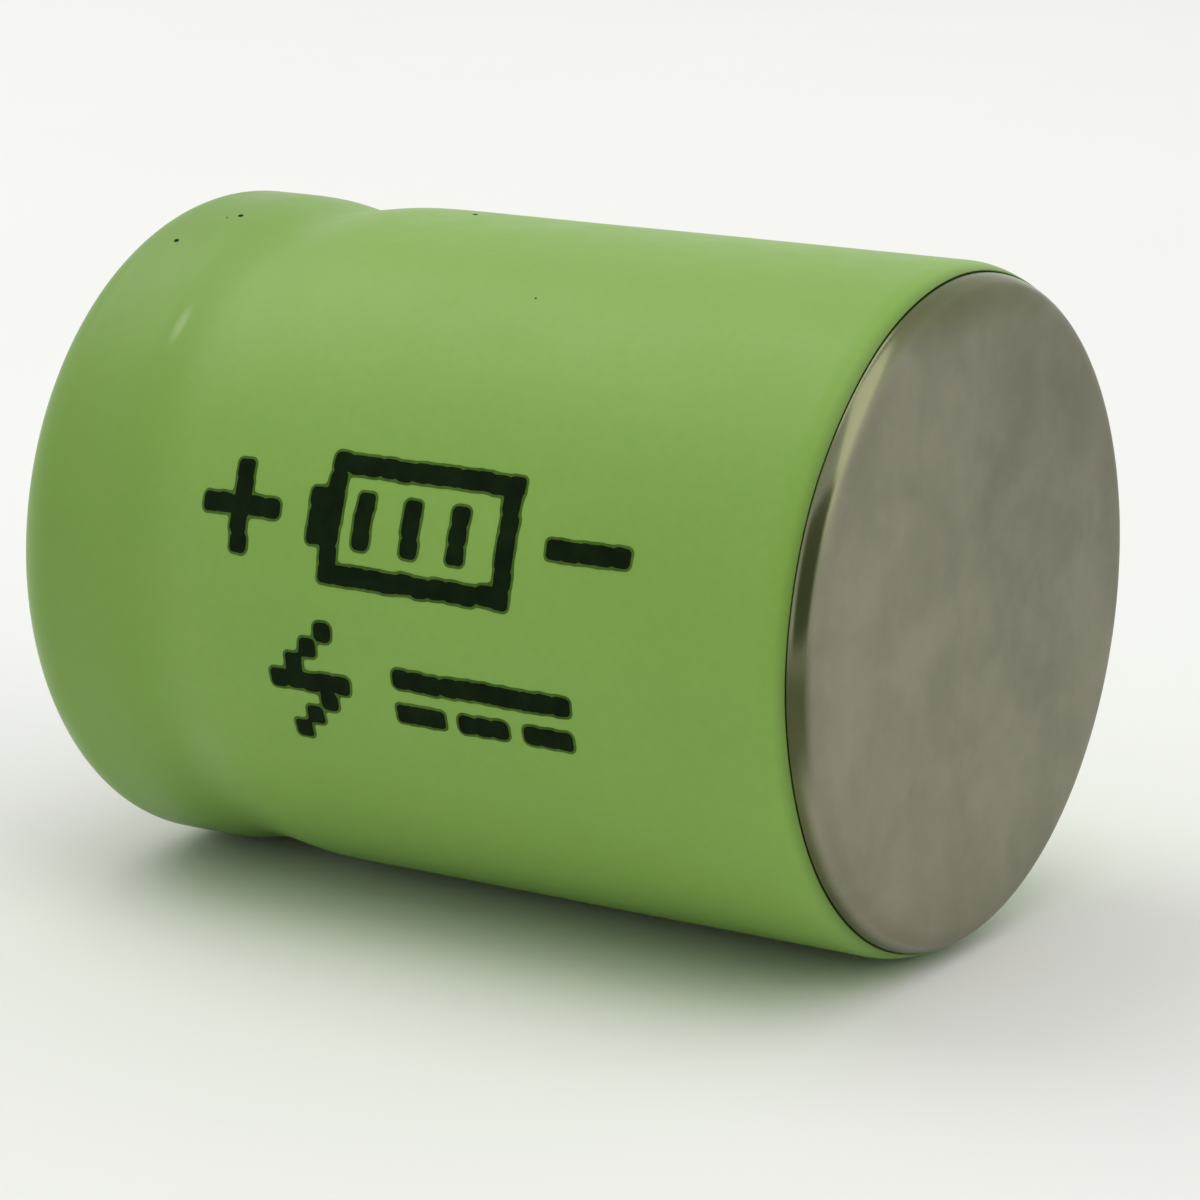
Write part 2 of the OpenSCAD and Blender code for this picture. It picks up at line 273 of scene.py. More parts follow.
class Nodes:
    """A short way to write a node tree whose pattern is fixed to the object, in millimetres."""

    def __init__(self, name):
        self.material = bpy.data.materials.new(name)
        self.material.use_nodes = True
        self.tree = self.material.node_tree
        self.shader = self.tree.nodes["Principled BSDF"]
        where = self.tree.nodes.new("ShaderNodeTexCoord")
        self.mm = self.tree.nodes.new("ShaderNodeMapping")
        self.mm.inputs["Scale"].default_value = (1 / MM,) * 3
        self.tree.links.new(where.outputs["Object"], self.mm.inputs["Vector"])

    def link(self, source, node, socket):
        self.tree.links.new(source, node.inputs[socket])

    def noise(self, size, detail=3.0, rough=0.5, stretch=(1, 1, 1), distortion=0.0):
        """Noise with features about `size` mm across."""
        vector = self.mm.outputs["Vector"]
        if stretch != (1, 1, 1):
            squeeze = self.tree.nodes.new("ShaderNodeMapping")
            squeeze.inputs["Scale"].default_value = stretch
            self.link(vector, squeeze, "Vector")
            vector = squeeze.outputs["Vector"]
        node = self.tree.nodes.new("ShaderNodeTexNoise")
        node.inputs["Scale"].default_value = 1 / size
        node.inputs["Detail"].default_value = detail
        node.inputs["Roughness"].default_value = rough
        node.inputs["Distortion"].default_value = distortion
        self.link(vector, node, "Vector")
        return node.outputs["Fac"]

    def ramp(self, value, stops):
        """Colours along a value: stops is a list of (place, colour or grey)."""
        node = self.tree.nodes.new("ShaderNodeValToRGB")
        marks = node.color_ramp.elements
        while len(marks) < len(stops):
            marks.new(0.5)
        for mark, (at, colour) in zip(marks, stops):
            mark.position = at
            mark.color = (*colour, 1) if isinstance(colour, tuple) else (colour, colour, colour, 1)
        self.link(value, node, "Fac")
        return node.outputs["Color"]

    def along(self, axis, start, end):
        """0 at one place on an axis, in mm, 1 at another, and smooth between."""
        parts = self.tree.nodes.new("ShaderNodeSeparateXYZ")
        self.link(self.mm.outputs["Vector"], parts, "Vector")
        node = self.tree.nodes.new("ShaderNodeMapRange")
        node.interpolation_type = "SMOOTHSTEP"
        node.inputs["From Min"].default_value = start
        node.inputs["From Max"].default_value = end
        self.link(parts.outputs[axis], node, "Value")
        return node.outputs["Result"]

    def spot(self, centre, turn, half_w, half_len):
        """1 at a place on the wall, fading to 0 round it: half_w along the axis, half_len round it, in mm."""
        near = self.tree.nodes.new("ShaderNodeMapping")
        near.vector_type = "TEXTURE"
        near.inputs["Location"].default_value = centre
        near.inputs["Rotation"].default_value = (-turn, 0, 0)
        near.inputs["Scale"].default_value = (half_w, 10.0, half_len)
        self.link(self.mm.outputs["Vector"], near, "Vector")
        away = self.tree.nodes.new("ShaderNodeVectorMath")
        away.operation = "LENGTH"
        self.tree.links.new(near.outputs["Vector"], away.inputs[0])
        node = self.tree.nodes.new("ShaderNodeMapRange")
        node.interpolation_type = "SMOOTHSTEP"
        node.inputs["From Min"].default_value, node.inputs["From Max"].default_value = 1.3, 0.2
        self.link(away.outputs["Value"], node, "Value")
        return node.outputs["Result"]

    def mix(self, amount, a, b):
        node = self.tree.nodes.new("ShaderNodeMix")
        node.data_type = "RGBA"
        for socket, value in (("Factor", amount), ("A", a), ("B", b)):
            kind = "VALUE" if socket == "Factor" else "RGBA"
            target = next(s for s in node.inputs if s.name == socket and s.type == kind)
            if isinstance(value, (int, float)):
                target.default_value = value
            elif isinstance(value, tuple):
                target.default_value = (*value, 1)
            else:
                self.tree.links.new(value, target)
        return next(s for s in node.outputs if s.type == "RGBA")

    def bump(self, value, height_um, strength=1.0, over=None):
        node = self.tree.nodes.new("ShaderNodeBump")
        node.inputs["Strength"].default_value = strength
        node.inputs["Distance"].default_value = height_um * 1e-6
        self.link(value, node, "Height")
        if over is not None:
            self.link(over, node, "Normal")
        return node.outputs["Normal"]

    def blotches(self, cloud, speck, dark, light):
        """A metal's colour: wide soft clouds with smaller specks over them."""
        wide = self.ramp(cloud, [(0.36, dark), (0.64, light)])
        return self.mix(0.35, wide, self.ramp(speck, [(0.38, dark), (0.62, light)]))

    def worn(self, cloud, speck):
        """The dents, pits and fine scratches of a handled metal face."""
        scratch = self.noise(0.10, detail=2, stretch=(1, 0.10, 1))
        pits = self.bump(speck, 1.0, 0.25, over=self.bump(scratch, 0.3, 0.25))
        return self.bump(cloud, 3.0, 0.3, over=pits)

    def set(self, **sockets):
        for name, value in sockets.items():
            socket = self.shader.inputs[name.replace("_", " ")]
            if hasattr(value, "is_linked"):
                self.tree.links.new(value, socket)
            elif isinstance(value, tuple):
                socket.default_value = (*value, 1) if len(value) == 3 and socket.type == "RGBA" else value
            else:
                socket.default_value = value
        return self.material


def film_material():
    """Green film, with painted shade towards the shoulder and at its cut foot, and a painted highlight on the
    crease.
    """
    n = Nodes("film")
    cloud = n.noise(5.0, detail=2)
    grain = n.noise(0.16, detail=4, rough=0.6)
    fine = n.noise(0.05, detail=2)
    tint = n.ramp(cloud, [(0.3, (0.228, 0.408, 0.073)), (0.7, (0.247, 0.437, 0.083))])
    colour = n.mix(0.10, tint, n.ramp(grain, [(0.35, (0.186, 0.350, 0.058)), (0.65, (0.286, 0.475, 0.104))]))
    turn = math.radians(CREASE["turn"])
    centre = FACE_X - CREASE["height"], -FILM_OUT * math.cos(turn), AXIS_Z + FILM_OUT * math.sin(turn)
    # Painted highlight: the film is paled in a small spot on the crease.
    crease_glint = n.spot(centre, turn, CREASE["half_w"], CREASE["half_len"])
    colour = n.mix(crease_glint, colour, n.mix(0.55, colour, (0.52, 0.68, 0.34)))
    # Painted shade: the film darkens towards the shoulder end.
    shoulder_shade = n.along("X", FACE_X - FILM_TOP + 5.0, FACE_X - FILM_TOP + 0.6)
    colour = n.mix(shoulder_shade, colour, n.mix(0.5, colour, (0.160, 0.280, 0.060)))
    # Painted shade at the cut foot, where the film meets the can.
    foot = n.along("X", FACE_X - FILM_FOOT - FOOT_SHADE_H, FACE_X - FILM_FOOT + 0.05)
    colour = n.mix(foot, colour, n.mix(0.6, colour, (0.075, 0.125, 0.030)))
    gloss = n.ramp(n.noise(0.8, detail=3), [(0.3, 0.34), (0.7, 0.44)])
    normal = n.bump(fine, 0.5, 0.5, over=n.bump(grain, 1.5, 0.6))
    return n.set(Base_Color=colour, Roughness=gloss, Normal=normal, IOR=1.5, Specular_IOR_Level=0.27,
                 Subsurface_Weight=0.12, Subsurface_Radius=(0.35, 0.6, 0.15), Subsurface_Scale=0.0004)


def steel_material(name, light, dark, rough):
    """Dull nickel plating: soft blotches, fine pits and short scratches."""
    n = Nodes(name)
    cloud = n.noise(1.5, detail=4, rough=0.55, distortion=0.4)
    speck = n.noise(0.45, detail=5, rough=0.65)
    colour = n.blotches(cloud, speck, dark, light)
    gloss = n.ramp(cloud, [(0.35, rough[1]), (0.65, rough[0])])
    return n.set(Base_Color=colour, Roughness=gloss, Normal=n.worn(cloud, speck), Metallic=1.0)


def can_material():
    """Plating rubbed matt on the face, painted lighter towards the front and below. The corner is out of
    reach of rubbing and stays shiny: its own bright tone above, a painted dark reflection at mid-height,
    lighter painted shade below, and painted shade over the very top."""
    n = Nodes("can_plating")
    cloud = n.noise(1.5, detail=4, rough=0.55, distortion=0.4)
    speck = n.noise(0.45, detail=5, rough=0.65)
    # Painted light on the face: a darker copy of the plating above and behind, and a lighter copy towards the
    # front and below.
    face_shaded = n.blotches(cloud, speck, (0.176, 0.171, 0.122), (0.213, 0.203, 0.147))
    light = n.blotches(cloud, speck, (0.272, 0.254, 0.190), (0.318, 0.294, 0.225))
    below, front = n.along("Z", AXIS_Z + 3.5, AXIS_Z - 4.5), n.along("Y", 3.5, -4.0)
    face = n.mix(n.mix(0.5, below, front), face_shaded, light)
    bright = n.blotches(cloud, speck, (0.212, 0.218, 0.132), (0.232, 0.238, 0.148))
    # Painted shade on the lower corner, fading into the lighter face tone inwards.
    lower_corner_shade = n.blotches(cloud, speck, (0.105, 0.110, 0.050), (0.140, 0.145, 0.070))
    lower = n.mix(n.along("X", FACE_X - 0.32, FACE_X - 0.14), lower_corner_shade, light)
    # Painted reflection: a dark band on the corner at mid-height. Above it, the corner keeps its own bright
    # tone.
    dark = n.blotches(cloud, speck, (0.075, 0.085, 0.038), (0.100, 0.110, 0.052))
    corner = n.mix(n.along("Z", AXIS_Z + 0.9, AXIS_Z - 0.1), bright, dark)
    corner = n.mix(n.along("Z", AXIS_Z - 0.5, AXIS_Z - 2.2), corner, lower)
    inwards = n.along("X", FACE_X - 0.17, FACE_X - 0.05)
    gloss = n.mix(inwards, (0.2, 0.2, 0.2), n.ramp(cloud, [(0.35, 0.54), (0.65, 0.46)]))
    colour = n.mix(inwards, corner, face)
    # Painted shade over the top of the rim.
    top_shade = n.mix(0.5, colour, (0.105, 0.120, 0.030))
    colour = n.mix(n.along("Z", AXIS_Z + 4.1, AXIS_Z + 4.8), colour, top_shade)
    return n.set(Base_Color=colour, Roughness=gloss, Normal=n.worn(cloud, speck), Metallic=1.0)


def ink_material(name, dark, light):
    """Matt ink of uneven thickness."""
    n = Nodes(name)
    patch = n.noise(0.35, detail=3)
    colour = n.ramp(patch, [(0.3, dark), (0.7, light)])
    gloss = n.ramp(n.noise(0.12), [(0.3, 0.5), (0.7, 0.65)])
    return n.set(Base_Color=colour, Roughness=gloss, Specular_IOR_Level=0.04)


def paper_material():
    """Fibre board: pale, matt, with fibres both ways."""
    n = Nodes("fibre_paper")
    fibres = n.noise(0.06, detail=5, rough=0.7, stretch=(1, 0.2, 1))
    across = n.noise(0.06, detail=5, rough=0.7, stretch=(1, 1, 0.2))
    both = n.mix(0.5, fibres, across)
    colour = n.ramp(both, [(0.3, (0.70, 0.67, 0.58)), (0.6, (0.86, 0.84, 0.77))])
    return n.set(Base_Color=colour, Roughness=0.9, Normal=n.bump(both, 12, 0.8), Specular_IOR_Level=0.25)


def soft_material(name, light, dark, rough):
    """Rubber, nylon or film: a gentle change of colour and a fine moulded grain."""
    n = Nodes(name)
    cloud = n.noise(1.3, detail=3)
    grain = n.noise(0.12, detail=4, rough=0.6)
    tones = [(0.3, dark), (0.7, light)]
    colour = n.mix(0.25, n.ramp(cloud, tones), n.ramp(grain, tones))
    gloss = n.ramp(grain, [(0.3, rough[0]), (0.7, rough[1])])
    return n.set(Base_Color=colour, Roughness=gloss, Normal=n.bump(grain, 3.0, 0.6))


def mass_material(name, light, dark):
    """A pressed powder on foam: dark, matt and granular."""
    n = Nodes(name)
    grain = n.noise(0.09, detail=6, rough=0.75)
    cloud = n.noise(0.9, detail=3)
    grains = n.ramp(grain, [(0.35, dark), (0.7, light)])
    colour = n.mix(0.5, grains, n.ramp(cloud, [(0.3, dark), (0.7, light)]))
    return n.set(Base_Color=colour, Roughness=0.85, Normal=n.bump(grain, 14, 0.9), Specular_IOR_Level=0.3)


def fleece_material():
    """Felt of two layers of fibres, at right angles."""
    n = Nodes("separator_fleece")
    one = n.noise(0.05, detail=4, rough=0.7, stretch=(0.15, 1, 1))
    two = n.noise(0.05, detail=4, rough=0.7, stretch=(1, 0.2, 0.2))
    both = n.mix(0.5, one, two)
    colour = n.ramp(both, [(0.3, (0.72, 0.72, 0.69)), (0.6, (0.88, 0.88, 0.86))])
    return n.set(Base_Color=colour, Roughness=0.95, Normal=n.bump(both, 9, 0.8), Sheen_Weight=0.3)


FILM = film_material()
CAN_STEEL = can_material()
CAP_STEEL = steel_material("cap_plating", (0.62, 0.60, 0.55), (0.48, 0.46, 0.41), rough=(0.22, 0.36))
PLATE_STEEL = steel_material("plate_plating", (0.56, 0.55, 0.51), (0.44, 0.43, 0.40), rough=(0.28, 0.4))
STRIP = steel_material("nickel_strip", (0.66, 0.63, 0.57), (0.52, 0.50, 0.45), rough=(0.25, 0.4))
INK = ink_material("ink", (0.0030, 0.0090, 0.0022), (0.0065, 0.0180, 0.0045))
INK_BLEED = ink_material("ink_bleed", (0.050, 0.110, 0.016), (0.085, 0.175, 0.026))
PAPER = paper_material()
RUBBER = soft_material("vent_rubber", (0.022, 0.022, 0.022), (0.012, 0.012, 0.012), (0.5, 0.7))
NYLON = soft_material("nylon", (0.74, 0.71, 0.60), (0.66, 0.63, 0.52), (0.4, 0.55))
INSULATOR = soft_material("insulator_film", (0.70, 0.71, 0.68), (0.60, 0.61, 0.58), (0.45, 0.6))
TAPE = soft_material("tape", (0.62, 0.36, 0.06), (0.52, 0.28, 0.04), (0.25, 0.4))
POSITIVE_MASS = mass_material("positive_mass", (0.030, 0.036, 0.030), (0.008, 0.010, 0.008))
NEGATIVE_MASS = mass_material("negative_mass", (0.075, 0.075, 0.080), (0.022, 0.022, 0.025))
FLEECE = fleece_material()


# ---- The film sleeve --------------------------------------------------------------------------

def film_dip(height):
    """How far the film sinks over the bead."""
    away = np.asarray(height) - DIP_HEIGHT
    width = np.where(away < 0, DIP_BODY_W, DIP_SHOULDER_W)
    return DIP_DEPTH * np.exp(-(away / width) ** 2)


FILM_WAVES = waves(9, 9.0, 3.5, 5, FILM_R)
PUCKERS = [(14, 0.6, 0.9), (23, 2.1, 0.6), (9, 4.0, 0.8)]     # folds around, phase, size


def film_sag(height, turn):
    """How far the outer face lies under its largest radius: it is never quite round, and has a crease."""
    along = (turn - math.radians(CREASE["turn"]) + math.pi) % (2 * math.pi) - math.pi
    along = along * FILM_OUT / CREASE["half_len"]
    across = (height - CREASE["height"]) / CREASE["half_w"]
    dent = CREASE["depth"] * np.exp(-along ** 2 - across ** 2)
    return OUT_OF_ROUND * (1 - rippled(FILM_WAVES, height, turn)) / 2 + dent


def film_moved(height, radius, turn):
    """Lets the film's outer face wander, and puckers it where it is drawn in over the end."""
    depth = FILM_OUT - FILM_T / 2 - film_dip(height)
    outer = np.clip((radius - depth) / (FILM_T / 2), 0, 1)
    shoulder = np.clip((height - (FILM_TOP - 0.95)) / 0.5, 0, 1)
    radius = radius - film_sag(height, turn) * outer * (1 - shoulder)
    drawn_in = np.clip((4.9 - radius) / (4.9 - LIP_R), 0, 1) * shoulder
    fold = sum(size * np.sin(n * turn + phase) for n, phase, size in PUCKERS)
    height = height + drawn_in ** 1.5 * (0.013 * fold + 0.026)
    lip = np.clip((LIP_R + 0.35 - radius) / 0.35, 0, 1) * shoulder
    edge = np.clip((FILM_FOOT + 0.5 - height) / 0.5, 0, 1)
    roll = np.clip((FILM_FOOT + FOOT_ROLL_H - height) / FOOT_ROLL_H, 0, 1)
    radius = radius - outer * (FOOT_THINNING * edge ** 2 + FOOT_ROLL * roll ** 2)
    uneven = 0.5 * np.sin(2 * turn + 1.1) + 0.3 * np.sin(5 * turn + 0.4) + 0.2 * np.sin(11 * turn + 2.0)
    return height + edge * (0.018 + 0.018 * uneven), radius + lip * 0.05 * uneven


def can_wall(height):
    """The can's outer radius, past the bead's edge as far as the film can touch it."""
    into = min(max(BEAD["half_w"] - abs(height - BEAD["height"]), 0), 0.8 * BEAD["edge_r"])
    return CAN_R - BEAD["edge_r"] + math.sqrt(BEAD["edge_r"] ** 2 - into ** 2)


def sleeve_film():
    foot, top = FILM_FOOT, CAN_TOP - CRIMP_DROP
    stations = [*np.linspace(foot, foot + 0.5, 24, endpoint=False), *np.linspace(foot + 0.5, top, 150)]
    wall = [(h, FILM_OUT - film_dip(h).item()) for h in stations]
    bead_foot, bead_top = BEAD["height"] - BEAD["half_w"] - 0.5, BEAD["height"] + BEAD["half_w"] + 0.2
    back_stations = [
        *np.linspace(foot, bead_foot, 30, endpoint=False),
        *np.linspace(bead_foot, bead_top, 45, endpoint=False),
        *np.linspace(bead_top, top, 6),
    ]
    back = []
    for h in back_stations:
        back.append((h, max(FILM_OUT - film_dip(h).item() - FILM_T, can_wall(h) + CAN_CLEARANCE)))
    rise = WASHER_TOP - CAN_TOP + 0.01
    outer = wall + crimp(FILM_OUT - CAN_R, FILM_TOP - CAN_TOP, 26)[1:] + [(FILM_TOP, LIP_R)]
    inner = back + crimp(FILM_OUT - FILM_T - CAN_R, rise, 26)[1:] + [(CAN_TOP + rise, LIP_R)]
    path = outer[:-1] + spaced([outer[-2], outer[-1]], 0.1, closed=False)[1:] + inner[::-1]
    outline = rounded(path, 0.02)
    tube = lathe_mesh(outline, FILM_SIDES, film_moved)
    make("sleeve_film", *tube, FILM, slot="pvc_sleeve", stands_for=["sleeve"])


# ---- The ink mark -----------------------------------------------------------------------------

# A battery outline with its charge bars between the polarity signs, and under it a bolt and the
# sign for direct current. One letter x is one dot of the printer.
DOT, DOT_HALF, DOT_CORNER, INK_SPREAD = 0.275, 0.148, 0.08, 0.04
DOT_SCATTER, INK_MELT, INK_DEPTH = 0.010, 0.022, 0.03
TOP_ROW = [
    "........xxxxxxxxxxxx.......",
    "..x.....x..........x.......",
    "..x....xx.x..x..x..x.......",
    "xxxxx..xx.x..x..x..x..xxxxx",
    "..x....xx.x..x..x..x.......",
    "..x.....x..........x.......",
    "........xxxxxxxxxxxx.......",
]
LOW_ROW = [
    "...x...............",
    "..x................",
    ".x......xxxxxxxxxxx",
    "xxxxx..............",
    "...x....xxx.xxx.xxx",
    "..x................",
    ".x.................",
]


def dots_of(rows, left_height, middle_turn):
    """The dots' places: (along the cell from the row's left end, up the wall), both in mm."""
    spots = []
    for i, line in enumerate(rows):
        for j, mark in enumerate(line):
            if mark == "x":
                spots.append((j * DOT, (len(rows) - 1 - 2 * i) / 2 * DOT))
    spots = np.array(spots) + rng.normal(0, DOT_SCATTER, (len(spots), 2))
    up = math.radians(middle_turn) * FILM_OUT + spots[:, 1]
    return np.column_stack([left_height - spots[:, 0], up])


def ink(name, spots, size, corner, material, lift=0.006, step=0.042):
    """Thin closed patches set into the film: rounded dots run together, cut out by marching squares."""
    low, high = spots.min(0) - DOT, spots.max(0) + DOT
    across = np.arange(low[0], high[0] + step, step)
    up = np.arange(low[1], high[1] + step, step)
    grid = np.stack(np.meshgrid(across, up, indexing="ij"), -1)
    field = np.zeros(grid.shape[:2])
    for spot in spots:
        away = np.abs(grid - spot) - (size - corner)
        reach = np.linalg.norm(np.maximum(away, 0), axis=-1) + np.minimum(away.max(-1), 0) - corner
        field += np.exp(-reach / INK_MELT)
    wobble = np.sin(grid[..., 0] * 21 + 1) * np.sin(grid[..., 1] * 17 + 2) * 0.006
    field = INK_MELT * np.log(field + 1e-30) + wobble
    flat, index, faces = [], {}, []

    def corner_at(i, j):
        key = (i, j)
        if key not in index:
            index[key] = len(flat)
            flat.append(tuple(grid[i, j]))
        return index[key]

    def crossing(a, b):
        key = (min(a, b), max(a, b))
        if key not in index:
            t = field[key[0]] / (field[key[0]] - field[key[1]])
            index[key] = len(flat)
            flat.append(tuple(grid[key[0]] + (grid[key[1]] - grid[key[0]]) * min(max(t, 0.02), 0.98)))
        return index[key]

    inside = field > 0
    for i in range(len(across) - 1):
        for j in range(len(up) - 1):
            cell = [(i, j), (i + 1, j), (i + 1, j + 1), (i, j + 1)]
            if not any(inside[c] for c in cell):
                continue
            face = []
            for k, here in enumerate(cell):
                following = cell[(k + 1) % 4]
                if inside[here]:
                    face.append(corner_at(*here))
                if inside[here] != inside[following]:
                    face.append(crossing(here, following))
            faces.append(face)
    flat = np.array(flat)
    turn = flat[:, 1] / FILM_OUT
    surface = FILM_OUT - film_dip(flat[:, 0]) - film_sag(flat[:, 0], turn)
    count = len(flat)
    outside = place(flat[:, 0], surface + lift, turn)
    points = np.vstack([outside, place(flat[:, 0], surface - INK_DEPTH, turn)])
    edges = {}
    for face in faces:
        for a, b in zip(face, face[1:] + face[:1]):
            edges[(a, b)] = (b, a) not in edges
            if (b, a) in edges:
                edges[(a, b)] = edges[(b, a)] = False
    walls = [(a, b, b + count, a + count) for (a, b), rim in edges.items() if rim]
    under = [[k + count for k in reversed(face)] for face in faces]
    make(name, points, faces + under + walls, material, slot="pvc_sleeve", sharp=50)


def ink_mark():
    for row, lines, left_height, turn in (("top", TOP_ROW, 10.25, 16.5), ("low", LOW_ROW, 8.95, -11.5)):
        spots = dots_of(lines, left_height, turn)
        ink(f"ink_{row}_row", spots, DOT_HALF, DOT_CORNER, INK)
        ink(f"ink_{row}_bleed", spots, DOT_HALF + INK_SPREAD, DOT_CORNER + INK_SPREAD, INK_BLEED, lift=0.003)
    specks = [
        (12.45, 77.0, 0.045), (13.0, 66.0, 0.04), (8.95, 92.0, 0.04), (12.62, 75.5, 0.02), (6.1, 61.0, 0.018),
    ]
    for k, (height, turn, size) in enumerate(specks):
        spot = np.array([(height, math.radians(turn) * FILM_OUT)])
        ink(f"ink_speck_{k + 1}", spot, size, size * 0.9, INK, step=0.02)


# ---- The can and the cap end ------------------------------------------------------------------

FACE_DENTS = waves(14, 3.6, 1.4, 8)


def can_moved(height, radius, turn):
    """The drawn face is a little hollow and uneven; it never stands past its rim."""
    face = np.clip(1 - height / 0.22, 0, 1) * np.clip((CAN_R - 0.55 - radius) / 0.8, 0, 1)
    across, up = radius * np.cos(turn), radius * np.sin(turn)
    uneven = rippled(FACE_DENTS, across, up)
    return height + face * (0.022 + 0.016 * uneven), radius


def can_shell():
    half = CAN_T / 2
    path = [(half, 0.0)]
    path += arc(CAN_CORNER_R, CAN_R - CAN_CORNER_R, CAN_CORNER_R - half, -90, 0, 14)
    path += groove(CAN_R, half)
    path += crimp(-half, -half)
    path += [(CAN_TOP - half, CRIMP_LIP_R)]
    outline = spaced(lid_outline(path, CAN_T), 0.11, closed=False)
    shell = lathe_mesh(outline, DISC_SIDES, can_moved, closed=False)
    make("can_shell", *shell, CAN_STEEL, slot="nickel_plated_steel", stands_for=["can"])


def washer():
    outline = [
        (WASHER_FOOT, WASHER_HOLE_R), (WASHER_FOOT, WASHER_R),
        (WASHER_TOP, WASHER_R), (WASHER_TOP, WASHER_HOLE_R),
    ]
    fuzz = waves(10, 1.2, 0.5, 21)

    def frayed(height, radius, turn):
        inner = np.clip((WASHER_HOLE_R + 0.2 - radius) / 0.2, 0, 1)
        uneven = 0.5 * np.sin(7 * turn + 1) + 0.3 * np.sin(19 * turn) + 0.2 * np.sin(43 * turn + 2)
        lift = 0.006 * rippled(fuzz, radius * np.cos(turn) * 2, radius * np.sin(turn) * 2)
        return height - 0.007 + lift, radius + inner * 0.02 * uneven

    outline = spaced(rounded(outline, 0.05), 0.12)
    ring = lathe_mesh(outline, DISC_SIDES, frayed)
    make("washer", *ring, PAPER, slot="fibre_washer", stands_for=["insulating_washer"])


def gasket():
    inset = CAN_T + 0.02
    top = CAN_TOP - inset
    outline = [(BEAD["height"] + 0.7, GASKET_HOLE_R)]
    outline += arc(BEAD["height"] + BEAD["half_w"], CAN_R - BEAD["edge_r"], BEAD["edge_r"] - inset, -60, 0)
    outline += crimp(-inset, -inset)
    outline += [
        (top, CRIMP_LIP_R - 0.15), (PLATE_TOP + 0.01, CRIMP_LIP_R - 0.15), (PLATE_TOP + 0.01, PLATE_R + 0.01),
        (PLATE_TOP - PLATE_T - 0.01, PLATE_R + 0.01), (PLATE_TOP - PLATE_T - 0.01, GASKET_HOLE_R),
    ]
    outline = spaced(rounded(outline, 0.05), 0.2)
    ring = lathe_mesh(outline, LID_SIDES)
    make("gasket", *ring, NYLON, slot="nylon", stands_for=["sealing_gasket"])


def plate():
    half = PLATE_T / 2
    bend, wall_r = DISH_BEND_R, DISH_R + half
    path = [(DISH_TOP - half, VENT_HOLE_R)]
    path += arc(DISH_TOP - half + bend, wall_r - bend, bend, -90, -25)
    path += arc(PLATE_TOP - half - bend, wall_r + bend, bend, 155, 90)
    path += [(PLATE_TOP - half, PLATE_R)]
    outline = spaced(rounded(thick(path, PLATE_T), 0.05), 0.2)
    dish = lathe_mesh(outline, LID_SIDES)
    make("plate", *dish, PLATE_STEEL, slot="nickel_plated_steel", stands_for=["sealing_plate"])


def cut_holes(piece, cutters):
    """Takes the cutters out of the piece for good, and removes them."""
    for cutter in cutters:
        cut = piece.modifiers.new("cut", "BOOLEAN")
        cut.operation, cut.solver, cut.object = "DIFFERENCE", "EXACT", cutter
    bpy.context.view_layer.update()
    seen = piece.evaluated_get(bpy.context.evaluated_depsgraph_get())
    mesh = bpy.data.meshes.new_from_object(seen)
    piece.modifiers.clear()
    piece.data = mesh
    mesh.set_sharp_from_angle(angle=math.radians(35))
    for cutter in cutters:
        bpy.data.objects.remove(cutter)


def cap():
    """The drawn button, its face dented by handling, with the gas holes cut through its wall."""
    half = CAP_T / 2
    wall = CAP_R - half
    foot = CAP_FOOT + half
    path = [(CAP_TOP - half, 0.0)]
    path += arc(CAP_TOP - half - CAP_TOP_R, wall - CAP_TOP_R, CAP_TOP_R, 90, 0, 14)
    path += arc(foot + CAP_FOOT_R, wall + CAP_FOOT_R, CAP_FOOT_R, 180, 270, 8)
    path += [(foot, FLANGE_R)]
    outline = spaced(lid_outline(path, CAP_T), 0.15, closed=False)
    dents = waves(8, 2.4, 1.0, 31)          # in the outer face only: the inner one lies on the plug

    def uneven(height, radius, turn):
        face = np.clip((height - CAP_TOP + 0.15) / 0.1, 0, 1) * np.clip((1.9 - radius) / 0.5, 0, 1)
        dent = 0.012 + 0.006 * rippled(dents, radius * np.cos(turn), radius * np.sin(turn))
        return height - face * dent, radius

    shell = lathe_mesh(outline, LID_SIDES, uneven, closed=False)
    piece = make("cap", *shell, CAP_STEEL, slot="nickel_plated_steel", stands_for=["positive_cap"])
    cutters = []
    for k in range(GAS_HOLES):
        turn = math.radians(HEAVY_SIDE_DOWN + 360 * k / GAS_HOLES)
        out = Vector((0, math.sin(turn), math.cos(turn)))
        drill = bmesh.new()
        bore = GAS_HOLE_R * MM
        bmesh.ops.create_cone(
            drill, cap_ends=True, segments=40, radius1=bore, radius2=bore, depth=1.2 * MM)
        mesh = bpy.data.meshes.new("drill")
        drill.to_mesh(mesh)
        drill.free()
        cutter = bpy.data.objects.new("drill", mesh)
        bpy.context.scene.collection.objects.link(cutter)
        cutter.rotation_mode = "QUATERNION"
        cutter.rotation_quaternion = out.to_track_quat("Z", "X")
        hole_height = CAP_FOOT + CAP_T + 0.54
        cutter.location = Vector((FACE_X - hole_height, 0, AXIS_Z)) * MM + out * (CAP_R - CAP_T / 2) * MM
        cutters.append(cutter)
    cut_holes(piece, cutters)


def plug():
    """The rubber block. It rides on the cell."""
    ring_r, step, edge = 0.95, 0.1, 0.15
    outline = [
        (PLUG_FOOT + step, 0), (PLUG_FOOT + step, ring_r - 0.25), (PLUG_FOOT, ring_r - 0.15),
        (PLUG_FOOT, ring_r + 0.15), (PLUG_FOOT + step, ring_r + 0.25), (PLUG_FOOT + step, PLUG_R - edge),
        (PLUG_FOOT + step + edge, PLUG_R), (PLUG_TOP - edge, PLUG_R),
        (PLUG_TOP, PLUG_R - edge), (PLUG_TOP, 0),
    ]
    outline = spaced(rounded(outline, 0.12, closed=False), 0.15, closed=False)
    body = lathe_mesh(outline, PLUG_SIDES, closed=False)
    piece = make("plug", *body, RUBBER, slot="vent_rubber", stands_for=["vent_plug"])
    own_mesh(piece)


